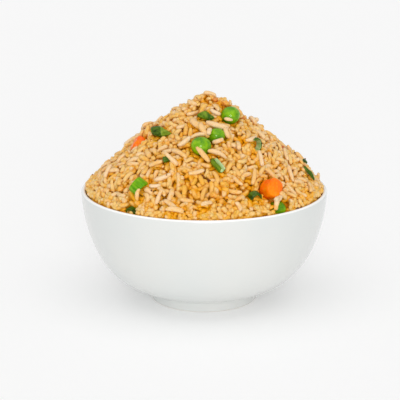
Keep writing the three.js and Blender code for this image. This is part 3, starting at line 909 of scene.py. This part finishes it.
def make_pea(node, finish, seed):
    """A cooked pea, nearly round, with a slack skin."""
    low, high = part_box(node)
    centre, half = (low + high) / 2, (high - low) / 2
    dent = (Vector((0.2, 0.5, 0.8)) + noise.noise_vector(Vector((seed * 2.7, 0, 0)))).normalized()
    bm = bmesh.new()
    bmesh.ops.create_icosphere(bm, subdivisions=4, radius=1)
    for vertex in bm.verts:
        out = vertex.co
        swell = 0.03 * noise.noise(out * 1.3 + Vector((seed, 0, 0)))
        swell += 0.008 * noise.noise(out * 5 + Vector((0, seed, 0)))
        swell -= 0.06 * math.exp(-(out.angle(dent) / 0.45) ** 2)
        vertex.co *= 1 + swell
    bmesh.ops.scale(bm, verts=bm.verts, vec=half)
    bmesh.ops.translate(bm, verts=bm.verts, vec=centre)
    name = "skinned_" + node
    return make_piece(name, mesh_from(bm, name), [finish], node)


def carrot_finish():
    shine = {"Specular_IOR_Level": 0.15, "Coat_Roughness": 0.15}
    finish = soft("cooked_carrot", 0.3, (1.0, 0.4, 0.1), 1.5 * MM, **shine)
    mottle = finish.ramp(finish.noise(220, 4), 0.3, 0.72)
    flecks = finish.ramp(finish.noise(1100, 2), 0.56, 0.78)
    flesh = finish.mix(mottle, srgb(252, 104, 0), srgb(255, 140, 0))
    finish.feed("Base Color", finish.mix(flecks * 0.6, flesh, srgb(255, 164, 20)))
    finish.feed("Roughness", finish.ramp(mottle, 0, 1, 0.28, 0.42))
    finish.feed("Coat Weight", finish.ramp(finish.noise(500, 2), 0.3, 0.7, 0.0, 0.3))
    return finish.bump(finish.noise(700, 3), 0.25 * MM, 0.5)


def make_carrot(node, finish, seed):
    """A soft dice of carrot, with rounded edges and faces that are no longer flat."""
    bm = solid_copy(node)
    bmesh.ops.subdivide_edges(bm, edges=bm.edges, cuts=3, use_grid_fill=True)
    for _ in range(4):
        bmesh.ops.smooth_vert(
            bm, verts=bm.verts, factor=0.5, use_axis_x=True, use_axis_y=True, use_axis_z=True
        )
    push_out(bm, 3.5 * MM, 0.8 * MM, seed)
    name = "soft_" + node
    piece = make_piece(name, mesh_from(bm, name), [finish], node)
    round_off(piece, 1)
    return piece


def round_off(piece, levels):
    modifier = piece.modifiers.new("rounding", "SUBSURF")
    modifier.levels = levels
    modifier.render_levels = levels


def onion_finish(name, dark, light, rough):
    """Cut spring onion, with veins that run along the tube."""
    finish = soft(name, 0.15, (1.0, 0.2, 0.1), 1.0 * MM, Specular_IOR_Level=0.12, Coat_Roughness=0.1)
    tube = finish.attribute("tube", "Vector")
    veins = finish.ramp(finish.noise(900, 2, tube), 0.35, 0.65)
    shade = finish.ramp(finish.noise(240, 2), 0.3, 0.7)
    finish.feed("Base Color", finish.mix(veins * 0.55 + shade * 0.45, dark, light))
    finish.feed("Roughness", finish.ramp(shade, 0, 1, rough, rough + 0.15))
    finish.feed("Coat Weight", finish.ramp(veins, 0, 1, 0.05, 0.3))
    return finish.bump(veins, 0.12 * MM, 0.5)


def tube_axis(bm):
    """The direction that a cut tube runs along: most of its points lie on its two cut faces."""
    points = np.array([v.co for v in bm.verts])
    best = (0, None)
    for face in bm.faces:
        along = points @ np.array(face.normal)
        from_middle = np.abs(along - (along.max() + along.min()) / 2)
        at_cuts = (from_middle.max() - from_middle < 0.03 * MM).mean()
        if at_cuts > best[0] + 0.01:
            best = (at_cuts, face.normal.copy())
    return best[1]


FLUSH = 0.06 * MM  # a face with nothing further out than this is on a cut's outside


def make_onion(node, skin, flesh, seed):
    """A cut of spring onion: green skin outside and at the cuts, and paler inside."""
    bm = solid_copy(node)
    axis = tube_axis(bm)
    points = np.array([v.co for v in bm.verts])
    crease = bm.edges.layers.float.new("crease_edge")
    for face in bm.faces:
        beyond = (points - np.array(face.calc_center_median())) @ np.array(face.normal)
        face.material_index = 0 if beyond.max() < FLUSH else 1
    for edge in bm.edges:
        kinds = {face.material_index for face in edge.link_faces}
        edge[crease] = 0.5 if len(kinds) > 1 else 0.0
    long_edges = [e for e in bm.edges if abs((e.verts[0].co - e.verts[1].co).normalized().dot(axis)) > 0.9]
    bmesh.ops.subdivide_edges(bm, edges=long_edges, cuts=4, use_grid_fill=True)
    push_out(bm, 3 * MM, 0.35 * MM, seed)
    name = "cut_" + node
    mesh = mesh_from(bm, name)
    points = mesh_points(mesh)
    along = points @ np.array(axis)
    add_values(mesh, "tube", points - np.outer(0.9 * along, axis), "FLOAT_VECTOR")
    piece = make_piece(name, mesh, [skin, flesh], node)
    round_off(piece, 2)
    return piece


ONION_FINISHES = {
    # The darkest and the lightest colour, and the least roughness
    "dark_onion_skin": (srgb(30, 54, 0), srgb(84, 114, 4), 0.3),
    "mid_onion_skin": (srgb(46, 84, 0), srgb(124, 152, 16), 0.3),
    "bright_onion_skin": (srgb(72, 136, 0), srgb(128, 180, 2), 0.3),
    "dark_onion_flesh": (srgb(70, 104, 4), srgb(144, 168, 50), 0.35),
    "bright_onion_flesh": (srgb(90, 150, 10), srgb(158, 200, 66), 0.35),
    "pale_onion_flesh": (srgb(140, 178, 104), srgb(212, 224, 172), 0.35),
}
BRIGHT_ONIONS = ("onion_5", "onion_12", "onion_16")  # cuts whose skin is bright green
MID_ONIONS = ("onion_1", "onion_4", "onion_14")  # and whose skin is green, where the rest is dark green
LEAF_ONIONS = ("onion_1", "onion_2", "onion_6", "onion_7", "onion_8", "onion_9")  # green inside too
BURIED = ("pea_2",)  # these have rice lying against their sides


def make_toppings(bed):
    pea, carrot = pea_finish(), carrot_finish()
    onion = {name: onion_finish(name, *look) for name, look in ONION_FINISHES.items()}
    for seed, node in enumerate(sorted(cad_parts)):
        kind = node.split("_")[0]
        if kind == "pea":
            piece = make_pea(node, pea, seed)
        elif kind == "carrot":
            piece = make_carrot(node, carrot, seed)
        elif kind == "onion":
            skin = "bright" if node in BRIGHT_ONIONS else "mid" if node in MID_ONIONS else "dark"
            flesh = "bright" if node in BRIGHT_ONIONS else "dark" if node in LEAF_ONIONS else "pale"
            piece = make_onion(node, onion[skin + "_onion_skin"], onion[flesh + "_onion_flesh"], seed)
        else:
            continue
        bed.heap_over(shaped_points(piece), stays_bare=node not in BURIED)


def egg_finish():
    """Scrambled egg: yellow to golden brown, moist, with small pits."""
    finish = soft("scrambled_egg", 0.4, (1.0, 0.7, 0.25), 1.5 * MM, Coat_Roughness=0.2)
    tone = finish.attribute("tone")
    mottle = finish.ramp(finish.noise(480, 3), 0.3, 0.72)
    amount = finish.ramp(tone + (mottle - 0.5) * 0.4, 0, 0.6)
    browned = finish.ramp(tone + (mottle - 0.5) * 0.3, 0.6, 1.15)
    fresh = finish.mix(amount, srgb(240, 206, 140), srgb(238, 172, 62))
    finish.feed("Base Color", finish.mix(browned, fresh, srgb(196, 96, 24)))
    finish.feed("Roughness", finish.ramp(mottle, 0, 1, 0.35, 0.55))
    finish.feed("Coat Weight", finish.ramp(mottle, 0, 1, 0.3, 0.05))
    return finish.bump(finish.noise(700, 4), 1.0 * MM, 0.8)


def browned_finish():
    finish = Finish("browned_bit", Specular_IOR_Level=0.2, Coat_Roughness=0.2)
    mottle = finish.ramp(finish.noise(900, 2), 0.3, 0.7)
    finish.feed("Base Color", finish.mix(mottle, srgb(90, 40, 4), srgb(164, 92, 24)))
    finish.feed("Roughness", finish.ramp(mottle, 0, 1, 0.4, 0.7))
    return finish.bump(finish.noise(1500, 2), 0.15 * MM, 0.5)


def lump_shape():
    """One unit lump, from a coarse ball: its points and faces."""
    bm = bmesh.new()
    bmesh.ops.create_icosphere(bm, subdivisions=2, radius=1)
    return points_and_faces(bm)


def strewn(bed, random, count, smallest, largest):
    """Places for lumps on the rest of the heap, clear of the toppings: as rows of place, size and tone."""
    rows = []
    while len(rows) < count:
        azimuth, out = random.uniform(-15, 195), even_distance(random.uniform(0.01, 0.9)) / MM
        length = random.uniform(smallest, largest)
        if bed.is_clear(*on_slope(azimuth, out), length * MM * 0.7):
            rows.append((azimuth, out, length, length * random.uniform(0.65, 0.95), random.uniform(0, 1)))
    return rows


def crumbled(points, seed):
    """A unit lump made uneven by folds."""
    return np.array([p * (1 + 0.5 * noise.noise(Vector(p) * 1.7 + Vector((seed, 0, 0)))) for p in points])


def make_lumps(name, rows, finish, bed, sunk, stays_bare):
    """Uneven lumps as one piece, from rows of place, size and tone, each sunk by a share of its size."""
    shape, faces = lump_shape()
    lumps = []
    for seed, (azimuth, out, length, width, _) in enumerate(rows):
        x, y = (np.array([value]) for value in on_slope(azimuth, out))
        size = np.array([length, width, (length + width) * 0.38]) * MM / 2
        base = max(bed.piled[bed.index(x), bed.index(y)][0], CORE_DEPTH * 0.6)
        centre, _, _ = core_point(x, y, base + size[2] * (1 - 2 * sunk))
        axes = np.concatenate(grain_axes(x, y, np.array([seed * 2.4]), np.array([0.1])))
        points = centre + (crumbled(shape, seed * 7.3) * size) @ axes
        bed.heap_over(points, stays_bare)
        lumps.append(points)
    mesh = joined_mesh(name, np.array(lumps), faces)
    add_values(mesh, "tone", np.repeat([row[4] for row in rows], len(shape)))
    round_off(make_piece(name, mesh, [finish], "rice_heap"), 2)


def make_egg(bed, random):
    finish = egg_finish()
    make_lumps("egg_curds_shown", EGG_CURDS, finish, bed, 0.2, True)
    make_lumps("egg_curds", strewn(bed, random, CURDS_BEHIND, 3, 6), finish, bed, 0.45, False)


def make_browned_bits(bed, random):
    shown = [(azimuth, out, size, size * 0.8, 0.5) for azimuth, out, size in BROWNED_BITS_AND_GAP_SHADE]
    rows = shown + strewn(bed, random, BITS_BEHIND, 0.6, 1.1)
    make_lumps("browned_bits_and_gap_shade", rows, browned_finish(), bed, 0.4, False)


# The camera, lights and floor

CAMERA_AT = (-1.95 * MM, -750 * MM, 252.3 * MM)
CAMERA_DOWN = 15.3  # degrees
CAMERA_LENS = 148.9  # millimetres, on a sensor 36 wide
LIT_POINT = Vector((0, 0, 50 * MM))  # what the lights are turned to
FLOOR_GLOW = 0.16  # the floor's own light, which keeps the shadows on it as faint as in a lit studio
FLOOR_REACH = 5  # metres
STUDIO_LIGHT = 0.65  # from all round


def make_camera():
    data = bpy.data.cameras.new("camera")
    data.lens = CAMERA_LENS
    data.sensor_width = 36
    data.clip_start = 0.05
    camera = add_object("camera", data)
    camera.location = CAMERA_AT
    camera.rotation_euler = (math.radians(90 - CAMERA_DOWN), 0, 0)
    bpy.context.scene.camera = camera


def make_light(name, place, energy, angle):
    """A light over the whole scene, from the side of a place. Its angle, in degrees, softens it."""
    data = bpy.data.lights.new(name, "SUN")
    data.energy = energy
    data.angle = math.radians(angle)
    light = add_object(name, data)
    light.location = place
    light.rotation_euler = (LIT_POINT - Vector(place)).to_track_quat("-Z", "Y").to_euler()


def make_stage():
    bm = bmesh.new()
    bmesh.ops.create_grid(bm, x_segments=8, y_segments=8, size=FLOOR_REACH)
    finish = Finish("pale_floor", Roughness=0.9, Emission_Color=(1, 1, 1, 1), Emission_Strength=FLOOR_GLOW)
    finish.feed("Base Color", finish.mix(finish.noise(3, 2), srgb(236, 236, 236), srgb(238, 238, 238)))
    floor = add_object("floor", mesh_from(bm, "floor"))
    floor.data.materials.append(finish.material)
    world = bpy.data.worlds.new("studio")
    world.use_nodes = True
    background = world.node_tree.nodes["Background"].inputs
    background["Color"].default_value = (1, 1, 1, 1)
    background["Strength"].default_value = STUDIO_LIGHT
    bpy.context.scene.world = world
    bpy.context.scene.view_settings.view_transform = "Standard"
    make_light("top_light", (-0.05, -0.55, 1.5), 0.6, 80)
    make_light("front_light", (0.05, -1.6, 0.45), 1.15, 25)


noise.seed_set(SEED)
random = np.random.default_rng(SEED)
make_camera()
make_stage()
make_bowl()
bed = Bed()
make_core()
make_toppings(bed)
make_egg(bed, random)
make_rice(bed, random)
make_browned_bits(bed, random)
